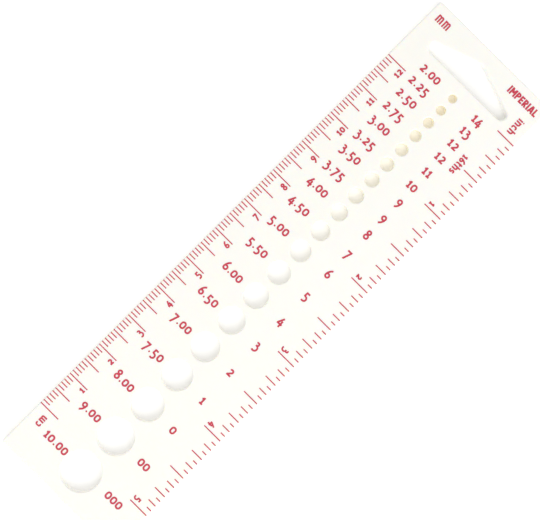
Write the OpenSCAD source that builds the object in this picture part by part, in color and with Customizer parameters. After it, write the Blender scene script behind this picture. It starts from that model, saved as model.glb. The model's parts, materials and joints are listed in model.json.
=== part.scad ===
// Knitting needle gauge: a flat moulded plate with nineteen graded holes, a hanging slot
// and printed centimetre and inch scales. X runs along the plate, from the largest hole to the
// hanging slot, Y points to the centimetre edge, and Z = 0 is the back face.

/* [Plate] */
// Length of the plate
plate_l = 152; // [151:0.5:156]
// Width of the plate
plate_w = 38; // [38:0.5:42]
// Thickness of the plate
plate_t = 2.5; // [2:0.1:4]
// Radius of the four corners in plan
corner_r = 0.8; // [0.6:0.1:2]
// Bevel along the edges of both faces
edge_bevel = 0.2; // [0.1:0.05:0.4]

/* [Needle holes] */
// Distance from the plate's end to the centre of the largest hole
first_hole_inset = 8.5; // [8:0.1:9]
// Play added to each needle's diameter
needle_play = 0.1; // [0.05:0.01:0.2]
// Width left beyond each hole over 6.50 mm
web_large = 2.4; // [2:0.05:2.5]
// Width left beyond each hole from 4.50 to 6.50 mm
web_medium = 2.2; // [1.8:0.05:2.25]
// Width left beyond each hole of 4.00 mm and under
web_small = 1.925; // [1.5:0.025:1.95]
// Lead-in bevel around each hole on both faces
hole_bevel = 0.3; // [0.1:0.05:0.5]

/* [Hanging slot] */
// Distance from the plate's end to the centres of the slot's two narrow ends
slot_inset = 9.4; // [9:0.1:10]
// Distance between the centres of the two narrow ends
slot_span = 22.8; // [18:0.2:24]
// Radius of the two narrow ends
slot_end_r = 1.35; // [1:0.05:1.6]
// How far the peak's centre stands out from the line of the two ends
slot_rise = 2.7; // [2:0.1:3]
// Radius of the peak
slot_peak_r = 2.5; // [1.5:0.1:2.6]
// Distance of the slot's middle from the plate's centre line
slot_shift = 0.3; // [-0.5:0.1:0.5]
// Bevel around the slot on both faces
slot_bevel = 0.4; // [0.1:0.05:0.5]

/* [Scales] */
// Distance from the plate's end to the centimetre zero
cm_inset = 13.5; // [13:0.1:14]
// Centimetres marked
cm_count = 12; // [8:1:12]
// Width of a centimetre scale line
cm_line = 0.26; // [0.15:0.01:0.3]
// Distance from the slot end of the plate to the inch zero
inch_inset = 12.9; // [12.5:0.1:14]
// Inches marked
inch_count = 5; // [3:1:5]
// Width of an inch scale line
inch_line = 0.27; // [0.15:0.01:0.3]
// Gap between the plate's edge and the scale lines
line_gap = 0.2; // [0.2:0.05:0.5]

/* [Printing] */
// Thickness of the ink
ink_t = 0.04; // [0.02:0.01:0.1]
// Height of a lower-case x in the size numbers
size_x = 2; // [1.8:0.1:2.1]
// Height of a lower-case x in the scale numbers and unit words
scale_x = 1.5; // [1.2:0.1:1.6]

/* [Colours] */
// Plate
plate_colour = "#fbf9ee"; // ["#fbf9ee":Ivory, "#ffffff":White, "#d9dde0":Grey]
// Ink
ink_colour = "#d43f58"; // ["#d43f58":Red, "#20242c":Black, "#2a4fa0":Blue]

/* [Hidden] */

$fn = 64;
inch = 25.4;
eps = 0.01;

// Needle sizes from the plate's end to the slot, in millimetres and by their imperial numbers
DIAMETER = [
    10, 9, 8, 7.5, 7, 6.5, 6, 5.5, 5, 4.5,
    4, 3.75, 3.5, 3.25, 3, 2.75, 2.5, 2.25, 2
];
IMPERIAL = [
    "000", "00", "0", "1", "2", "3", "4", "5", "6", "7",
    "8", "9", "9", "10", "11", "12", "12", "13", "14"
];

// The width left beyond a hole depends on its size, and each pitch is that width and two radii
function web(d) = d > 6.5 ? web_large : d > 4 ? web_medium : web_small;
function hole_x(i) = i == 0
    ? first_hole_inset - plate_l / 2
    : hole_x(i - 1) + (DIAMETER[i - 1] + DIAMETER[i]) / 2 + web(DIAMETER[i - 1]);

// A size as it is printed, with two decimals
function size_text(d) = let (hundredths = round(d * 100) % 100)
    str(floor(d), hundredths < 10 ? ".0" : ".", hundredths);
// Each size's numbers stand a little beyond its hole's centre, by the group it was set in
function label_lead(d) = d > 9.5 ? 0.6 : d > 5.75 ? -0.05 : d > 3.4 ? 0.6 : 0.35;
// The two largest holes push their metric numbers outward
function label_lift(d) = d > 8.5 ? 0.5 : 0;

cm_x0 = cm_inset - plate_l / 2;
inch_x0 = plate_l / 2 - inch_inset;
slot_x = plate_l / 2 - slot_inset;

// Lengths of the scale lines
cm_line_l = 5.9;
half_cm_line_l = 4.8;
mm_line_l = 2;
INCH_LINE_L = [5.5, 1.4, 2.4, 1.4, 3.4, 1.4, 2.4, 1.4, 4.5, 1.4, 2.4, 1.4, 3.4, 1.4, 2.4, 1.4];

// Places of the printed rows, measured from the plate's centre line
metric_end_y = 4.92;
imperial_y = -8.8;
cm_number_y = 12.97;
inch_number_y = -13.85;
// Distance from a number's cell to its scale line. The inch numbers' cell straddles the line
cm_number_gap = 0.5;
inch_number_gap = -0.72;

// Where each unit word starts
cm_word = [cm_x0 - 4.8, 14.8];
mm_word = [plate_l / 2 - 4.5, 17];
imperial_word = [plate_l / 2 - 4.4, -7.9];
inch_word = [inch_x0 + 6.1, -14.95];
sixteenths_word = [inch_x0 - 9.75, -11.55];

// Pen widths for glyphs drawn with a lower-case x 2 mm high
glyph_x = 2;
size_pen = 0.45;
scale_pen = 0.53;
mm_pen = 0.40;
// Radius of each of an m's two arches, in the wide and the condensed lettering
wide_arch = 0.43;
narrow_arch = 0.34;

// ---- The plate ----

module rounded_outline(l, w, r) {
    square([l - 2 * r, w], center = true);
    square([l, w - 2 * r], center = true);
    for (x = [-1, 1], y = [-1, 1])
        translate([x * (l / 2 - r), y * (w / 2 - r)]) circle(r);
}

// A square bar on its corner, which bevels an edge that lies along its middle
module bevel_bar(l, b) {
    rotate([45, 0, 0]) cube([l, b * sqrt(2), b * sqrt(2)], center = true);
}

module edge_bevels() {
    for (z = [0, plate_t]) {
        for (y = [-1, 1]) translate([0, y * plate_w / 2, z])
            bevel_bar(plate_l + 2, edge_bevel);
        for (x = [-1, 1]) translate([x * plate_l / 2, 0, z])
            rotate(90) bevel_bar(plate_w + 2, edge_bevel);
    }
}

// A straight bore with a lead-in bevel at both faces
module gauge_hole(d) {
    translate([0, 0, -1]) cylinder(d = d, h = plate_t + 2);
    translate([0, 0, -eps])
        cylinder(d1 = d + 2 * (hole_bevel + eps), d2 = d, h = hole_bevel + eps);
    translate([0, 0, plate_t - hole_bevel])
        cylinder(d1 = d, d2 = d + 2 * (hole_bevel + eps), h = hole_bevel + eps);
}

// The three round corners of the hanging slot, as discs or cones between two heights
module slot_cutter(z0, z1, grow0, grow1) {
    hull() {
        for (y = [-1, 1]) translate([slot_x, slot_shift + y * slot_span / 2, z0])
            cylinder(r1 = slot_end_r + grow0, r2 = slot_end_r + grow1, h = z1 - z0, $fn = 32);
        translate([slot_x + slot_rise, slot_shift, z0])
            cylinder(r1 = slot_peak_r + grow0, r2 = slot_peak_r + grow1, h = z1 - z0, $fn = 32);
    }
}

module gauge_plate() {
    color(plate_colour) difference() {
        linear_extrude(plate_t) rounded_outline(plate_l, plate_w, corner_r);
        edge_bevels();
        for (i = [0 : len(DIAMETER) - 1])
            translate([hole_x(i), 0, 0]) gauge_hole(DIAMETER[i] + needle_play);
        slot_cutter(-1, plate_t + 1, 0, 0);
        slot_cutter(-eps, slot_bevel, slot_bevel + eps, 0);
        slot_cutter(plate_t - slot_bevel, plate_t + eps, 0, slot_bevel + eps);
    }
}

// ---- The printing ----
// Glyphs are drawn by a pen $pen wide. Each is centred on x = 0, stands on y = 0, has a
// lower-case x 2 mm high and is $ink thick. 3, 4, 5, 7 and 9 hang below the line, 6 and 8 rise.

module pen_line(p, q) {
    run = q - p;
    translate([p.x, p.y, 0]) rotate(atan2(run.y, run.x))
        translate([0, -$pen / 2, 0]) cube([norm(run), $pen, $ink]);
}

module pen_arc(centre, r, start, sweep) {
    translate([centre.x, centre.y, 0]) rotate(start)
        rotate_extrude(angle = sweep) translate([r - $pen / 2, 0]) square([$pen, $ink]);
}

module pen_dot(centre, r) {
    translate([centre.x, centre.y, 0]) cylinder(r = r, h = $ink);
}

// Keeps what lies between two heights, so that slanting strokes end level
module level_ends(low, high) {
    intersection() {
        children();
        translate([-2, low, -1]) cube([4, high - low, 2 + $ink]);
    }
}

module glyph_0() {
    end_r = 0.77;
    r = end_r - $pen / 2;
    pen_arc([0, glyph_x - end_r], r, 0, 180);
    pen_arc([0, end_r], r, 180, 180);
    for (x = [-r, r]) pen_line([x, end_r], [x, glyph_x - end_r]);
}

module glyph_1() {
    pen_line([0.08, 0], [0.08, glyph_x]);
    pen_line([-0.38, $pen / 2], [0.54, $pen / 2]);
    level_ends(0, glyph_x) pen_line([-0.4, 1.38], [0.14, 1.84]);
}

module glyph_2() {
    r = 0.45;
    top = glyph_x - $pen / 2 - r;
    pen_arc([0, top], r, -32, 187);
    pen_line([0.38, top - 0.2], [-0.46, 0.22]);
    pen_line([-0.64, $pen / 2], [0.64, $pen / 2]);
}

module glyph_3() {
    x = -0.15;
    top_r = 0.39;
    low_r = 0.72;
    waist = glyph_x - $pen / 2 - 2 * top_r;
    pen_arc([x, waist + top_r], top_r, -90, 235);
    pen_arc([x, waist - low_r], low_r, -125, 215);
    pen_line([x - 0.2, waist], [x, waist]);
}

module glyph_4() {
    bar_y = 0.24;
    level_ends(-0.6, glyph_x) {
        pen_line([-0.6, bar_y], [0.24, 1.98]);
        pen_line([-0.78, bar_y], [0.72, bar_y]);
        pen_line([0.28, -0.7], [0.28, 1.2]);
    }
}

module glyph_5() {
    pen_arc([-0.12, 0.21], 0.62, -125, 240);
    pen_line([-0.4, 0.7], [-0.33, 1.86]);
    pen_line([-0.5, glyph_x - $pen / 2], [0.5, glyph_x - $pen / 2]);
}

module glyph_6() {
    bowl_r = 0.74;
    r = bowl_r - $pen / 2;
    tail_r = 2.1;
    pen_arc([0, bowl_r], r, 0, 360);
    pen_arc([tail_r - r + 0.02, bowl_r], tail_r, 124, 62);
}

module glyph_7() {
    pen_line([-0.68, glyph_x - $pen / 2], [0.66, glyph_x - $pen / 2]);
    level_ends(-0.6, glyph_x) pen_line([0.45, 1.72], [-0.42, -0.75]);
}

module glyph_8() {
    low_r = 0.75;
    top_r = 0.68;
    top = 2.65;
    pen_arc([0, low_r], low_r - $pen / 2, 0, 360);
    pen_arc([0, top - top_r], top_r - $pen / 2, 0, 360);
}

module glyph_9() {
    translate([0, glyph_x, 0]) rotate(180) glyph_6();
}

module glyph_point() {
    pen_dot([0, 0.34], 0.22);
}

// The arch of m, n and h, from a stem's top over to the foot of the next stem
module arch(x, r) {
    top = glyph_x - $pen / 2 - r;
    pen_arc([x, top], r, 0, 180);
    pen_line([x + r, 0], [x + r, top]);
}

module glyph_c() {
    end_r = 0.7;
    r = end_r - $pen / 2;
    pen_arc([0.04, glyph_x - end_r], r, 35, 145);
    pen_arc([0.04, end_r], r, 180, 145);
    pen_line([0.04 - r, end_r], [0.04 - r, glyph_x - end_r]);
}

module glyph_h() {
    pen_line([-0.5, 0], [-0.5, 2.7]);
    arch(0, 0.5);
}

module glyph_i() {
    pen_line([0, 0], [0, 1.8]);
    pen_dot([0, 2.3], 0.25);
}

module glyph_m() {
    pen_line([-2 * $arch_r, 0], [-2 * $arch_r, glyph_x]);
    for (x = [-$arch_r, $arch_r]) arch(x, $arch_r);
}

module glyph_n() {
    pen_line([-0.5, 0], [-0.5, glyph_x]);
    arch(0, 0.5);
}

module glyph_s() {
    r = (glyph_x - $pen) / 4;
    pen_arc([0, glyph_x / 2 + r], r, 30, 240);
    pen_arc([0, glyph_x / 2 - r], r, -150, 240);
}

module glyph_t() {
    r = 0.36;
    foot = $pen / 2 + r;
    pen_line([-0.14, foot], [-0.14, 2.45]);
    pen_arc([r - 0.14, foot], r, 180, 100);
    pen_line([-0.5, glyph_x - $pen / 2], [0.46, glyph_x - $pen / 2]);
}

module glyph_A() {
    level_ends(0, glyph_x) {
        pen_line([-0.52, -0.1], [-0.03, 2.1]);
        pen_line([0.52, -0.1], [0.03, 2.1]);
        pen_line([-0.35, 0.6], [0.35, 0.6]);
    }
}

module glyph_E() {
    pen_line([-0.3, 0], [-0.3, glyph_x]);
    for (y = [$pen / 2, glyph_x - $pen / 2]) pen_line([-0.3, y], [0.48, y]);
    pen_line([-0.3, 1], [0.4, 1]);
}

module glyph_I() {
    pen_line([0, 0], [0, glyph_x]);
}

module glyph_L() {
    pen_line([-0.28, 0], [-0.28, glyph_x]);
    pen_line([-0.28, $pen / 2], [0.46, $pen / 2]);
}

module glyph_M() {
    for (x = [-1, 1]) {
        pen_line([x * 0.57, 0], [x * 0.57, glyph_x]);
        level_ends(0, glyph_x) pen_line([x * 0.57, 1.98], [0, 0.72]);
    }
}

module glyph_P() {
    r = 0.38;
    bowl_y = glyph_x - $pen / 2 - r;
    pen_line([-0.34, 0], [-0.34, glyph_x]);
    pen_arc([-0.04, bowl_y], r, -90, 180);
    for (y = [bowl_y - r, bowl_y + r]) pen_line([-0.34, y], [-0.04, y]);
}

module glyph_R() {
    glyph_P();
    level_ends(0, glyph_x) pen_line([-0.08, 1.08], [0.42, -0.1]);
}

module glyph(c) {
    if (c == "0") glyph_0();
    if (c == "1") glyph_1();
    if (c == "2") glyph_2();
    if (c == "3") glyph_3();
    if (c == "4") glyph_4();
    if (c == "5") glyph_5();
    if (c == "6") glyph_6();
    if (c == "7") glyph_7();
    if (c == "8") glyph_8();
    if (c == "9") glyph_9();
    if (c == ".") glyph_point();
    if (c == "c") glyph_c();
    if (c == "h") glyph_h();
    if (c == "i") glyph_i();
    if (c == "m") glyph_m();
    if (c == "n") glyph_n();
    if (c == "s") glyph_s();
    if (c == "t") glyph_t();
    if (c == "A") glyph_A();
    if (c == "E") glyph_E();
    if (c == "I") glyph_I();
    if (c == "L") glyph_L();
    if (c == "M") glyph_M();
    if (c == "P") glyph_P();
    if (c == "R") glyph_R();
}

// Width of each glyph's cell. All digits but 1 have the same, and an m's depends on its arches
CELLS = [
    ["1", 1.34], [".", 0.94],
    ["c", 1.7], ["h", 1.85], ["i", 0.9], ["n", 1.88], ["s", 1.45], ["t", 1.3],
    ["A", 1.5], ["E", 1.2], ["I", 0.68], ["L", 1.15], ["M", 1.78], ["P", 1.3], ["R", 1.3]
];
digit_cell = 1.76;
m_bearings = 0.84;
function cell(c) = let (found = [for (e = CELLS) if (e[0] == c) e[1]])
    c == "m" ? 4 * $arch_r + m_bearings : len(found) > 0 ? found[0] : digit_cell;
function run_length(word, n) = n == 0 ? 0 : run_length(word, n - 1) + cell(word[n - 1]);

// A word whose lower-case x is x_high. anchor is the length of run, in glyph units, before x = 0
module word(txt, x_high, pen, anchor) {
    k = x_high / glyph_x;
    $pen = pen;
    $ink = ink_t / k;
    for (i = [0 : len(txt) - 1])
        translate([k * (run_length(txt, i) + cell(txt[i]) / 2 - anchor), 0, 0])
            scale(k) glyph(txt[i]);
}

// Puts print on the face, with its start at a point and its line turned by an angle
module printed_at(start, turn) {
    color(ink_colour) translate([start.x, start.y, plate_t]) rotate(turn) children();
}

// A scale line that starts at the edge on one side of the plate and points inward
module scale_line(x, l, line_w, side) {
    outer_y = plate_w / 2 - line_gap;
    color(ink_colour) translate([x - line_w / 2, side > 0 ? outer_y - l : -outer_y, plate_t])
        cube([line_w, l, ink_t]);
}

module centimetre_lines() {
    for (mm = [0 : 10 * cm_count])
        scale_line(
            cm_x0 + mm,
            mm % 10 == 0 ? cm_line_l : mm % 5 == 0 ? half_cm_line_l : mm_line_l,
            cm_line, 1
        );
}

module inch_lines() {
    for (n = [0 : 16 * inch_count])
        scale_line(inch_x0 - n * inch / 16, INCH_LINE_L[n % 16], inch_line, -1);
}

// Centimetre numbers end just before their lines
module centimetre_numbers() {
    for (n = [1 : cm_count])
        printed_at([cm_x0 + 10 * n - cm_number_gap, cm_number_y], 0)
            word(str(n), scale_x, scale_pen, run_length(str(n), len(str(n))));
}

// Inch numbers read from the other side, and also end just before their lines
module inch_numbers() {
    for (n = [1 : inch_count])
        printed_at([inch_x0 - n * inch - inch_number_gap, inch_number_y], 180)
            word(str(n), scale_x, scale_pen, run_length(str(n), 1));
}

// The line on which the numbers of hole i stand
function label_x(i) = hole_x(i) + label_lead(DIAMETER[i]) - size_x / 2;

module metric_size_numbers() {
    for (i = [0 : len(DIAMETER) - 1]) {
        txt = size_text(DIAMETER[i]);
        printed_at([label_x(i), metric_end_y + label_lift(DIAMETER[i])], -90)
            word(txt, size_x, size_pen, run_length(txt, len(txt)));
    }
}

// Single figures stand centred on the row's line, rows of zeros start there, and two-figure
// numbers end there
module imperial_size_numbers() {
    for (i = [0 : len(IMPERIAL) - 1]) {
        txt = IMPERIAL[i];
        starts_there = len(txt) == 1 || txt[0] == "0";
        anchor = starts_there ? cell(txt[0]) / 2 : run_length(txt, len(txt)) - digit_cell / 2;
        printed_at([label_x(i), imperial_y], -90) word(txt, size_x, size_pen, anchor);
    }
}

module unit_words() {
    printed_at(cm_word, 0) word("cm", scale_x, scale_pen, 0, $arch_r = wide_arch);
    printed_at(mm_word, -90) word("mm", size_x, mm_pen, 0, $arch_r = narrow_arch);
    printed_at(imperial_word, -90) word("IMPERIAL", size_x, size_pen, 0);
    printed_at(inch_word, 180) word("inch", scale_x, scale_pen, 0);
    printed_at(sixteenths_word, 180) word("16ths", scale_x, scale_pen, 0);
}

gauge_plate();
centimetre_lines();
centimetre_numbers();
inch_lines();
inch_numbers();
metric_size_numbers();
imperial_size_numbers();
unit_words();
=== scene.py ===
"""Looks of a knitting needle gauge: an ivory moulded plate with crimson printing.

The plate is rebuilt as a fine mesh with rounded rims inside the CAD plate's box. The printing keeps
its CAD meshes. Lengths are metres, X runs from the largest hole to the hanging slot, Y to the
centimetre edge, and Z = 0 is the back face.
"""

import json
import math

import bpy
from mathutils import Matrix, Vector
from mathutils.geometry import delaunay_2d_cdt


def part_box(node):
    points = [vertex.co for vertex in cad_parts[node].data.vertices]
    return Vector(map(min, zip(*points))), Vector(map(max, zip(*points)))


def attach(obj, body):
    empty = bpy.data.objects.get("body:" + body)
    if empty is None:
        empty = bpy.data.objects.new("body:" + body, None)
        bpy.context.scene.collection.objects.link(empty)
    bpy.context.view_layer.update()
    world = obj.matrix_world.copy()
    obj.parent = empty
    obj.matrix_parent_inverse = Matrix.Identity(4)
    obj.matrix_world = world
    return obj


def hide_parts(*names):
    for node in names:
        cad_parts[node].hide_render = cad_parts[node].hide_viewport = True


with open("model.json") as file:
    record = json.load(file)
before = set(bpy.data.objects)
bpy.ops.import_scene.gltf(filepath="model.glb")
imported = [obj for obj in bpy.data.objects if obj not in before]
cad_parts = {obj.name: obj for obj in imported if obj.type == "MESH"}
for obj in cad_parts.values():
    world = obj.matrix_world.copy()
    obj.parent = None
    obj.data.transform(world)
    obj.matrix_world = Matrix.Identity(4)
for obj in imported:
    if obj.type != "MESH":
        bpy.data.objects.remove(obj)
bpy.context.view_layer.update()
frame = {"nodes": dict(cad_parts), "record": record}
MM = 0.001

# ---- Sizes of the visual plate ----

PLATE_LOW, PLATE_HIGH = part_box("gauge_plate")
TOP_Z = PLATE_HIGH.z
CORNER_R = 0.8 * MM
EDGE_ROUND = 0.50 * MM          # rounding along the outer edges
HOLE_ROUND = 0.30 * MM          # rounding of the needle holes' rims
SLOT_ROUND = 0.60 * MM          # rounding of the hanging slot's rims

# The slot is the hull of two small discs and one at its peak
SLOT_INSET = 9.4 * MM           # from the plate's end to the two small discs
SLOT_SHIFT = 0.3 * MM           # of the slot's middle towards the centimetre edge
SLOT_END_R = 1.35 * MM
SLOT_PEAK_R = 2.5 * MM
SLOT_RISE = 2.7 * MM
SLOT_HALF_SPAN = 11.4 * MM

# Faint round marks that the mould's ejector pins leave on the back
PIN_MARK_R = 2.4 * MM
PIN_MARK_DEPTH = 0.04 * MM
PIN_MARK_XS = [x * MM for x in (-61, -21, 19, 55)]
PIN_MARK_Y = 12.2 * MM

SHEET_GLOW = 0.28               # how strongly the sheet glows around the plate, a painted light that washes out the plate's cast shadow
LARGE_HOLE_GLOW = 0.13          # and below the large and the small holes, painted light there too
SMALL_HOLE_GLOW = 0.055
SHADE_INSET = 0.5 * MM          # the sheet glows less under the plate, up to this from its edges
WALL_PAINTED_TONE_EDGE = 0.30 * MM      # how far below each face the painted warm tone of the holes' walls starts
WALL_INSET = 2.0 * MM           # outer sides within this of the plate's edges keep the plain tone

RIM_STEPS = 6                   # faces across each rounding
OUTER_CHORD = 0.15 * MM         # length of one face along the round parts of each outline
HOLE_CHORD = 0.25 * MM
SLOT_CHORD = 0.20 * MM
PIN_CHORD = 0.30 * MM
GRID = 2.5 * MM                 # spacing of loose points that keep the flat faces' triangles even
LOOSE_GAP = 0.4 * GRID          # least distance of a loose point from an outline


# ---- Outlines ----

def hull_outline(discs, chord):
    """Points and outward normals around the hull of discs (x, y, r), which go anticlockwise."""
    if len(discs) == 1:
        x, y, r = discs[0]
        count = max(32, 4 * round(math.tau * r / chord / 4))
        angles = [math.tau * k / count for k in range(count)]
        return [((x + r * math.cos(a), y + r * math.sin(a)), (math.cos(a), math.sin(a)))
                for a in angles]
    leave = []
    for (x0, y0, r0), (x1, y1, r1) in zip(discs, discs[1:] + discs[:1]):
        along = math.atan2(y1 - y0, x1 - x0)
        leave.append(along - math.acos((r0 - r1) / math.hypot(x1 - x0, y1 - y0)))
    outline = []
    for k, (x, y, r) in enumerate(discs):
        start, sweep = leave[k - 1], (leave[k] - leave[k - 1]) % math.tau
        steps = max(4, round(r * sweep / chord))
        for i in range(steps + 1):
            a = start + sweep * i / steps
            normal = (math.cos(a), math.sin(a))
            outline.append(((x + r * normal[0], y + r * normal[1]), normal))
    return outline


def rounded_rectangle(low, high, r):
    return [(low.x + r, low.y + r, r), (high.x - r, low.y + r, r),
            (high.x - r, high.y - r, r), (low.x + r, high.y - r, r)]


def slot_discs():
    """The slot's three round corners, anticlockwise from the inch end."""
    x = PLATE_HIGH.x - SLOT_INSET
    return [(x, SLOT_SHIFT - SLOT_HALF_SPAN, SLOT_END_R),
            (x + SLOT_RISE, SLOT_SHIFT, SLOT_PEAK_R),
            (x, SLOT_SHIFT + SLOT_HALF_SPAN, SLOT_END_R)]


# ---- The plate's mesh ----

class Shell:
    """Collects a mesh's vertices, their exact normals, and its faces."""

    def __init__(self):
        self.points, self.normals, self.faces = [], [], []

    def add(self, point, normal):
        self.points.append(point)
        self.normals.append(normal)
        return len(self.points) - 1

    def ring(self, outline, grow, z, lean, side):
        """A ring of the outline pushed out by grow at height z, with normals that lean from
        upright by the angle lean towards the outside (side 1) or the inside (side -1)."""
        flat, up = side * math.sin(lean), math.cos(lean)
        return [self.add((x + grow * nx, y + grow * ny, z), (flat * nx, flat * ny, up))
                for (x, y), (nx, ny) in outline]

    def strip(self, upper, lower, side):
        """Faces between two rings, seen from the side that has no material."""
        for k in range(len(upper)):
            a, b = upper[k - 1], upper[k]
            c, d = lower[k], lower[k - 1]
            self.faces.append((a, d, c, b) if side > 0 else (a, b, c, d))

    def wall(self, outline, r, z_low, z_high, side):
        """A wall with rounded rims. Returns its uppermost and lowermost rings."""
        steps = [math.pi / 2 * k / RIM_STEPS for k in range(RIM_STEPS + 1)]
        inset = [-side * r * (1 - math.sin(a)) for a in steps]
        upper = [self.ring(outline, g, z_high - r * (1 - math.cos(a)), a, side)
                 for g, a in zip(inset, steps)]
        lower = [self.ring(outline, g, z_low + r * (1 - math.cos(a)), math.pi - a, side)
                 for g, a in reversed(list(zip(inset, steps)))]
        rings = upper + lower
        for over, under in zip(rings, rings[1:]):
            self.strip(over, under, side)
        return rings[0], rings[-1]

    def sheet(self, outer, holes, z, up):
        """Fills the flat face between an outer ring and the rings of its holes."""
        rings = [outer] + holes
        index = [i for ring in rings for i in ring]
        flat = [Vector(self.points[i][:2]) for i in index]
        edges, start = [], 0
        for ring in rings:
            edges += [(start + k, start + (k + 1) % len(ring)) for k in range(len(ring))]
            start += len(ring)
        loops = [[Vector(self.points[i][:2]) for i in ring] for ring in rings]
        loose = [p for p in grid_points(loops[0]) if clear_of(p, loops)]
        index += [self.add((p.x, p.y, z), (0, 0, 1 if up else -1)) for p in loose]
        points, _, faces, sources, _, _ = delaunay_2d_cdt(flat + loose, edges, [], 1, 1e-9)
        for face in faces:
            middle = sum((points[i] for i in face), Vector((0, 0))) / len(face)
            if inside(middle, loops[0]) and not any(inside(middle, loop) for loop in loops[1:]):
                corners = [index[sources[i][0]] for i in face]
                self.faces.append(tuple(corners if up else reversed(corners)))

    def mesh(self, name):
        data = bpy.data.meshes.new(name)
        data.from_pydata(self.points, [], self.faces)
        data.polygons.foreach_set("use_smooth", [True] * len(data.polygons))
        data.normals_split_custom_set_from_vertices([Vector(n).normalized() for n in self.normals])
        data.validate(clean_customdata=False)
        return data


def inside(p, loop):
    """Whether a point lies inside a closed loop."""
    crossed = False
    for a, b in zip(loop, loop[1:] + loop[:1]):
        if (a.y > p.y) != (b.y > p.y) and p.x < a.x + (p.y - a.y) / (b.y - a.y) * (b.x - a.x):
            crossed = not crossed
    return crossed


def grid_points(loop):
    xs, ys = [p.x for p in loop], [p.y for p in loop]
    columns = int((max(xs) - min(xs)) / GRID)
    rows = int((max(ys) - min(ys)) / GRID)
    return [Vector((min(xs) + (i + 0.5 + 0.5 * (j % 2)) * GRID, min(ys) + (j + 0.5) * GRID))
            for i in range(columns) for j in range(rows)]


def clear_of(p, loops):
    """Whether a loose point is within the face and well away from every loop."""
    if not inside(p, loops[0]) or any(inside(p, loop) for loop in loops[1:]):
        return False
    return all((p - q).length > LOOSE_GAP for loop in loops for q in loop)


def build_plate():
    shell = Shell()
    outer = hull_outline(rounded_rectangle(PLATE_LOW, PLATE_HIGH, CORNER_R), OUTER_CHORD)
    outer_top, outer_back = shell.wall(outer, EDGE_ROUND, 0.0, TOP_Z, 1)
    top_holes, back_holes = [], []
    for mount in frame["record"]["mounts"]:
        if mount["kind"] == "bore":
            x, y, _ = mount["pos_m"]
            outline = hull_outline([(x, y, mount["dims"]["r_mm"] * MM)], HOLE_CHORD)
            rings = shell.wall(outline, HOLE_ROUND, 0.0, TOP_Z, -1)
            top_holes.append(rings[0])
            back_holes.append(rings[1])
    rings = shell.wall(hull_outline(slot_discs(), SLOT_CHORD), SLOT_ROUND, 0.0, TOP_Z, -1)
    top_holes.append(rings[0])
    back_holes.append(rings[1])
    for x in PIN_MARK_XS:
        for y in (-PIN_MARK_Y, PIN_MARK_Y):
            back_holes.append(pin_mark(shell, x, y))
    shell.sheet(outer_top, top_holes, TOP_Z, True)
    shell.sheet(outer_back, back_holes, 0.0, False)
    return shell.mesh("gauge_plate_moulding")


def pin_mark(shell, x, y):
    """A shallow round recess in the back. Returns the ring of its rim."""
    outline = hull_outline([(x, y, PIN_MARK_R)], PIN_CHORD)
    rim = shell.ring(outline, 0.0, 0.0, math.pi, -1)
    floor = shell.ring(outline, -2 * PIN_MARK_DEPTH, PIN_MARK_DEPTH, math.pi, -1)
    shell.strip(floor, rim, -1)
    shell.faces.append(tuple(reversed(floor)))
    return rim


# ---- Materials ----

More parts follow.
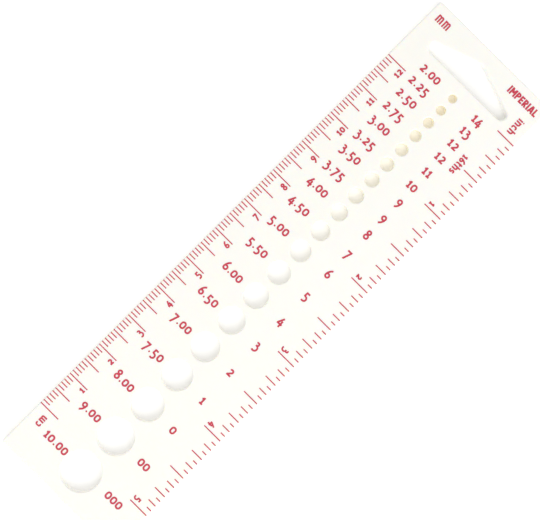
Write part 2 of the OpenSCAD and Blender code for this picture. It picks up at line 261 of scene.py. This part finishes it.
class Nodes:
    """A short way to lay out one material's shader nodes."""

    def __init__(self, name):
        self.material = bpy.data.materials.new(name)
        self.material.use_nodes = True
        self.tree = self.material.node_tree
        self.shader = self.tree.nodes["Principled BSDF"]
        self.where = self.add("ShaderNodeTexCoord").outputs["Object"]

    def add(self, kind, **settings):
        node = self.tree.nodes.new(kind)
        for key, value in settings.items():
            setattr(node, key, value)
        return node

    def link(self, source, target):
        self.tree.links.new(source, target)

    def noise(self, size, detail=4.0, roughness=0.5, stretch=(1, 1, 1)):
        """Noise whose features are about size metres across."""
        place = self.add("ShaderNodeMapping")
        place.inputs["Scale"].default_value = stretch
        self.link(self.where, place.inputs["Vector"])
        node = self.add("ShaderNodeTexNoise")
        node.inputs["Scale"].default_value = 1 / size
        node.inputs["Detail"].default_value = detail
        node.inputs["Roughness"].default_value = roughness
        self.link(place.outputs["Vector"], node.inputs["Vector"])
        return node.outputs["Fac"]

    def ramp(self, source, *stops):
        """A ramp of (position, grey or colour) stops."""
        node = self.add("ShaderNodeValToRGB")
        elements = node.color_ramp.elements
        while len(elements) < len(stops):
            elements.new(0.5)
        for element, (position, value) in zip(elements, stops):
            element.position = position
            element.color = (value, value, value, 1) if isinstance(value, float) else (*value, 1)
        self.link(source, node.inputs["Fac"])
        return node.outputs["Color"]

    def mix(self, kind, factor, a, b):
        node = self.add("ShaderNodeMix", data_type="RGBA", blend_type=kind)
        for socket, value in ((node.inputs[0], factor), (node.inputs[6], a), (node.inputs[7], b)):
            if isinstance(value, (float, tuple)):
                socket.default_value = value if isinstance(value, float) else (*value, 1)
            else:
                self.link(value, socket)
        return node.outputs[2]

    def along_x(self, start, end):
        """0 to 1 along the object's X axis between two places."""
        place = self.add("ShaderNodeSeparateXYZ")
        self.link(self.where, place.inputs["Vector"])
        part = self.add("ShaderNodeMapRange")
        part.inputs["From Min"].default_value = start
        part.inputs["From Max"].default_value = end
        self.link(place.outputs["X"], part.inputs["Value"])
        return part.outputs["Result"]

    def inside_box(self, low, high):
        """1 where the object's point lies between two corners, and 0 elsewhere."""
        place = self.add("ShaderNodeSeparateXYZ")
        self.link(self.where, place.inputs["Vector"])
        mask = None
        for axis in range(3):
            near = self.add("ShaderNodeMath", operation="COMPARE")
            self.link(place.outputs[axis], near.inputs[0])
            near.inputs[1].default_value = (low[axis] + high[axis]) / 2
            near.inputs[2].default_value = (high[axis] - low[axis]) / 2
            if mask is None:
                mask = near.outputs["Value"]
            else:
                both = self.add("ShaderNodeMath", operation="MULTIPLY")
                self.link(mask, both.inputs[0])
                self.link(near.outputs["Value"], both.inputs[1])
                mask = both.outputs["Value"]
        return mask

    def bump(self, height, strength, distance, base=None):
        node = self.add("ShaderNodeBump")
        node.inputs["Strength"].default_value = strength
        node.inputs["Distance"].default_value = distance
        self.link(height, node.inputs["Height"])
        if base is not None:
            self.link(base, node.inputs["Normal"])
        return node.outputs["Normal"]


def ivory_plastic():
    """Moulded ivory plastic: faint flow streaks, a fine satin texture, and slight translucency.
    The walls of the holes carry a painted warm tone, stronger towards the small holes and paler in
    the slot, which stands in for light that picks up the plastic's colour as it bounces inside the
    holes."""
    n = Nodes("ivory_plastic")
    flow = n.noise(30 * MM, 3.0, 0.55, (0.35, 1, 1))
    cloud = n.noise(7 * MM, 5.0, 0.6)
    deep, pale = (0.958, 0.942, 0.876), (0.970, 0.955, 0.896)
    colour = n.ramp(flow, (0.35, deep), (0.65, pale))
    colour = n.mix("MULTIPLY", 1.0, colour, n.ramp(cloud, (0.3, (0.99, 0.99, 0.985)), (0.7, 1.0)))
    # painted light: the holes' walls get a warmer tone, strongest towards the small holes and paler
    # in the slot, in place of light bounced inside the holes
    edge = Vector((WALL_INSET, WALL_INSET, WALL_PAINTED_TONE_EDGE))
    hole_walls = n.inside_box(PLATE_LOW + edge, PLATE_HIGH - edge)
    along = n.along_x(PLATE_LOW.x, PLATE_HIGH.x)
    painted_bounce_tone = n.ramp(along, (0.50, (0.985, 0.970, 0.925)), (0.80, (0.985, 0.940, 0.800)),
                  (0.90, (0.985, 0.922, 0.740)), (0.93, (0.970, 0.960, 0.920)))
    colour = n.mix("MIX", hole_walls, colour, painted_bounce_tone)
    n.link(colour, n.shader.inputs["Base Color"])
    rough = n.noise(1.6 * MM, 6.0, 0.65)
    n.link(n.ramp(rough, (0.3, 0.30), (0.7, 0.42)), n.shader.inputs["Roughness"])
    satin = n.bump(n.noise(0.22 * MM, 3.0), 0.10, 0.02 * MM)
    wavy = n.bump(n.noise(9 * MM, 2.0), 0.08, 0.10 * MM, satin)
    n.link(wavy, n.shader.inputs["Normal"])
    n.shader.inputs["Subsurface Weight"].default_value = 0.3
    n.shader.inputs["Subsurface Radius"].default_value = (1.0, 0.75, 0.42)
    n.shader.inputs["Subsurface Scale"].default_value = 0.9 * MM
    n.shader.inputs["IOR"].default_value = 1.5
    return n.material


def crimson_ink():
    """Pad-printed ink: matt, a little uneven in density, with specks where it is thin."""
    n = Nodes("crimson_ink")
    density = n.noise(1.1 * MM, 4.0, 0.6)
    speck = n.noise(0.16 * MM, 2.0, 0.7)
    dense, light, sparse = (0.525, 0.033, 0.063), (0.620, 0.049, 0.087), (0.78, 0.30, 0.33)
    thin = n.ramp(speck, (0.66, 0.0), (0.80, 0.35))
    colour = n.mix("MIX", thin, n.ramp(density, (0.3, dense), (0.7, light)), sparse)
    n.link(colour, n.shader.inputs["Base Color"])
    n.link(n.ramp(speck, (0.3, 0.42), (0.7, 0.58)), n.shader.inputs["Roughness"])
    n.link(n.bump(speck, 0.25, 0.01 * MM), n.shader.inputs["Normal"])
    n.shader.inputs["IOR"].default_value = 1.48
    return n.material


def white_paper():
    """The sheet that the gauge lies on. It glows though it is no lamp, a painted light: brightly
    around the gauge, which washes out the gauge's cast shadow there, and faintly under the gauge,
    most below the large holes."""
    n = Nodes("white_paper")
    fibre = n.noise(0.6 * MM, 4.0, 0.6)
    paper = n.ramp(fibre, (0.3, (0.925, 0.922, 0.910)), (0.7, (0.945, 0.942, 0.930)))
    n.link(paper, n.shader.inputs["Base Color"])
    # painted light and shade: the sheet glows around the plate, less under it, and more below the
    # large holes than below the small ones
    shade = Vector((SHADE_INSET, SHADE_INSET, -1.0))
    under = n.inside_box(PLATE_LOW + shade, PLATE_HIGH - shade)
    along = n.along_x(PLATE_LOW.x, PLATE_HIGH.x)
    painted_under_glow = n.ramp(along, (0.1, LARGE_HOLE_GLOW), (0.7, SMALL_HOLE_GLOW))
    painted_glow = n.mix("MIX", under, (SHEET_GLOW, SHEET_GLOW, SHEET_GLOW), painted_under_glow)
    n.link(painted_glow, n.shader.inputs["Emission Strength"])
    n.link(n.bump(fibre, 0.05, 0.01 * MM), n.shader.inputs["Normal"])
    n.shader.inputs["Roughness"].default_value = 0.9
    n.shader.inputs["Specular IOR Level"].default_value = 0.2
    n.shader.inputs["Emission Color"].default_value = (1, 1, 1, 1)
    return n.material


# ---- The pieces ----

plate = bpy.data.objects.new("gauge_plate_moulding", build_plate())
bpy.context.scene.collection.objects.link(plate)
plate.data.materials.append(ivory_plastic())
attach(plate, "root")
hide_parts("gauge_plate")

ink = crimson_ink()
for name, node in frame["nodes"].items():
    if name != "gauge_plate":
        node.data.materials.clear()
        node.data.materials.append(ink)


# ---- The stage ----

FLOOR_HALF = 0.9                # half of the sheet's side
FLOOR_DROP = 0.02 * MM          # how far the sheet lies below the plate's back
WORLD_LIGHT = 0.71
KEY_PLACE = (-0.45, -0.80, 0.92)
KEY_SIZE, KEY_POWER = 1.4, 11.0


def add_floor():
    half = FLOOR_HALF
    sheet = bpy.data.meshes.new("floor")
    corners = [(-half, -half, 0), (half, -half, 0), (half, half, 0), (-half, half, 0)]
    sheet.from_pydata(corners, [], [(0, 1, 2, 3)])
    floor = bpy.data.objects.new("floor", sheet)
    floor.location.z = -FLOOR_DROP
    floor.data.materials.append(white_paper())
    bpy.context.scene.collection.objects.link(floor)


def add_soft_light(name, where, aim, size, power):
    lamp = bpy.data.lights.new(name, "AREA")
    lamp.shape, lamp.size, lamp.energy = "DISK", size, power
    light = bpy.data.objects.new(name, lamp)
    light.location = where
    light.rotation_euler = (Vector(aim) - Vector(where)).to_track_quat("-Z", "Y").to_euler()
    bpy.context.scene.collection.objects.link(light)


def add_world(strength):
    world = bpy.data.worlds.new("studio")
    world.use_nodes = True
    world.node_tree.nodes["Background"].inputs["Color"].default_value = (1, 1, 1, 1)
    world.node_tree.nodes["Background"].inputs["Strength"].default_value = strength
    bpy.context.scene.world = world


def add_camera():
    """Nearly straight above the plate's middle, with the plate's length rising to the right."""
    stand = Vector((-4.97, 1.15, 300.0)) * MM
    target = Vector((1.28, 3.77, 2.5)) * MM
    length_rises = math.radians(45.1)
    view_width = 540 / 1219.5       # width of the view over its distance
    look = (target - stand).normalized()
    right = look.cross(Vector((math.sin(length_rises), math.cos(length_rises), 0))).normalized()
    turn = Matrix((right, right.cross(look), -look)).transposed()
    data = bpy.data.cameras.new("camera")
    data.sensor_width = 36.0
    data.lens = data.sensor_width / view_width
    data.clip_start, data.clip_end = 0.01, 10.0
    camera = bpy.data.objects.new("camera", data)
    camera.matrix_world = Matrix.Translation(stand) @ turn.to_4x4()
    bpy.context.scene.collection.objects.link(camera)
    bpy.context.scene.camera = camera


add_floor()
add_world(WORLD_LIGHT)
add_soft_light("key_light", KEY_PLACE, (0, 0, 0), KEY_SIZE, KEY_POWER)
add_camera()
bpy.context.scene.view_settings.view_transform = "Standard"
bpy.context.scene.cycles.max_bounces = 24
bpy.context.scene.cycles.diffuse_bounces = 20       # light reaches the floor of the small holes
